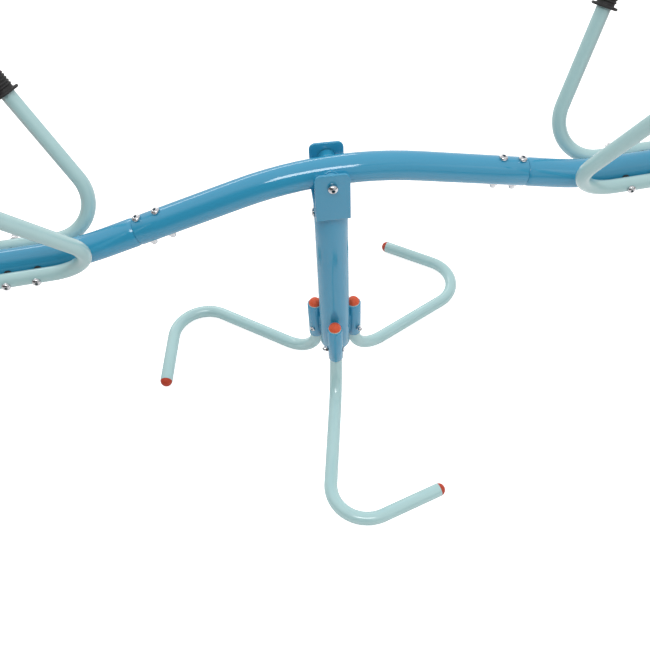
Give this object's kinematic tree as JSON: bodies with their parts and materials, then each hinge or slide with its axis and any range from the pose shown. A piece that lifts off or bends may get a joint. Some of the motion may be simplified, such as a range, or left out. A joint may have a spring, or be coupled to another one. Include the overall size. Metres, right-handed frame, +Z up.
{
  "type": "swivelling seesaw",
  "caption": "Arched tube seesaw on a swivelling head, carried by a column with bent tube legs, with a seat and a pair of grip handles at each end.",
  "frame": {"origin": "on the ground under the column's axis, midway between the legs", "axes": "+X along the beam to the raised end, +Y to the far side, +Z up"},
  "size_m": [1.8937, 0.7122, 0.8407],
  "materials": {
    "blue_paint": "gloss powder coat",
    "mint_paint": "gloss powder coat",
    "orange_plastic": "fine-grained moulded plastic",
    "black_plastic": "moulded nylon",
    "black_rubber": "moulded rubber",
    "bright_steel": "bright zinc plate"
  },
  "bodies": {
    "stand": {"column_tube": "blue_paint", "leg_socket_front": "blue_paint", "leg_socket_right": "blue_paint", "leg_socket_left": "blue_paint", "leg_front": "mint_paint", "leg_right": "mint_paint", "leg_left": "mint_paint", "leg_top_plug_front": "orange_plastic", "leg_top_plug_right": "orange_plastic", "leg_top_plug_left": "orange_plastic", "leg_toe_plug_front": "orange_plastic", "leg_toe_plug_right": "orange_plastic", "leg_toe_plug_left": "orange_plastic", "upper_bush": "black_plastic", "lower_bush": "black_plastic", "leg_bolts": "bright_steel", "leg_nuts": "bright_steel", "lock_screws": "bright_steel"},
    "swivel_head": {"pivot_head": "blue_paint", "spindle_tube": "blue_paint", "pivot_bolt": "bright_steel", "pivot_washer": "bright_steel", "pivot_nut": "bright_steel", "pivot_spacer_tube": "bright_steel"},
    "beam": {"beam_centre_tube": "blue_paint", "beam_cross_sleeve": "blue_paint", "beam_end_tube_left": "blue_paint", "beam_end_tube_right": "blue_paint", "handle_left_near": "mint_paint", "handle_left_far": "mint_paint", "handle_right_near": "mint_paint", "handle_right_far": "mint_paint", "beam_end_plug_left": "orange_plastic", "beam_end_plug_right": "orange_plastic", "seat_left": "orange_plastic", "seat_right": "orange_plastic", "handle_plug_left_near": "orange_plastic", "handle_plug_left_far": "orange_plastic", "handle_plug_right_near": "orange_plastic", "handle_plug_right_far": "orange_plastic", "pivot_bush_near": "black_plastic", "pivot_bush_far": "black_plastic", "handle_saddles_left": "black_plastic", "handle_saddles_right": "black_plastic", "bumper_left": "black_rubber", "bumper_right": "black_rubber", "grip_left_near": "black_rubber", "grip_left_far": "black_rubber", "grip_right_near": "black_rubber", "grip_right_far": "black_rubber", "joint_bolts": "bright_steel", "joint_nuts": "bright_steel", "handle_bolts": "bright_steel", "handle_nuts": "bright_steel", "seat_bolts": "bright_steel", "seat_nuts": "bright_steel", "bumper_bolts": "bright_steel", "bumper_nuts": "bright_steel"}
  },
  "joints": [
    {"name": "swivel", "type": "hinge", "parent": "stand", "child": "swivel_head", "pos_m": [0, 0, 0.45], "axis": [0, 0, 1], "continuous": true},
    {"name": "rock", "type": "hinge", "parent": "swivel_head", "child": "beam", "pos_m": [0, 0, 0.5555], "axis": [0, 1, 0], "range_deg": [-21.3, 29.1]}
  ]
}
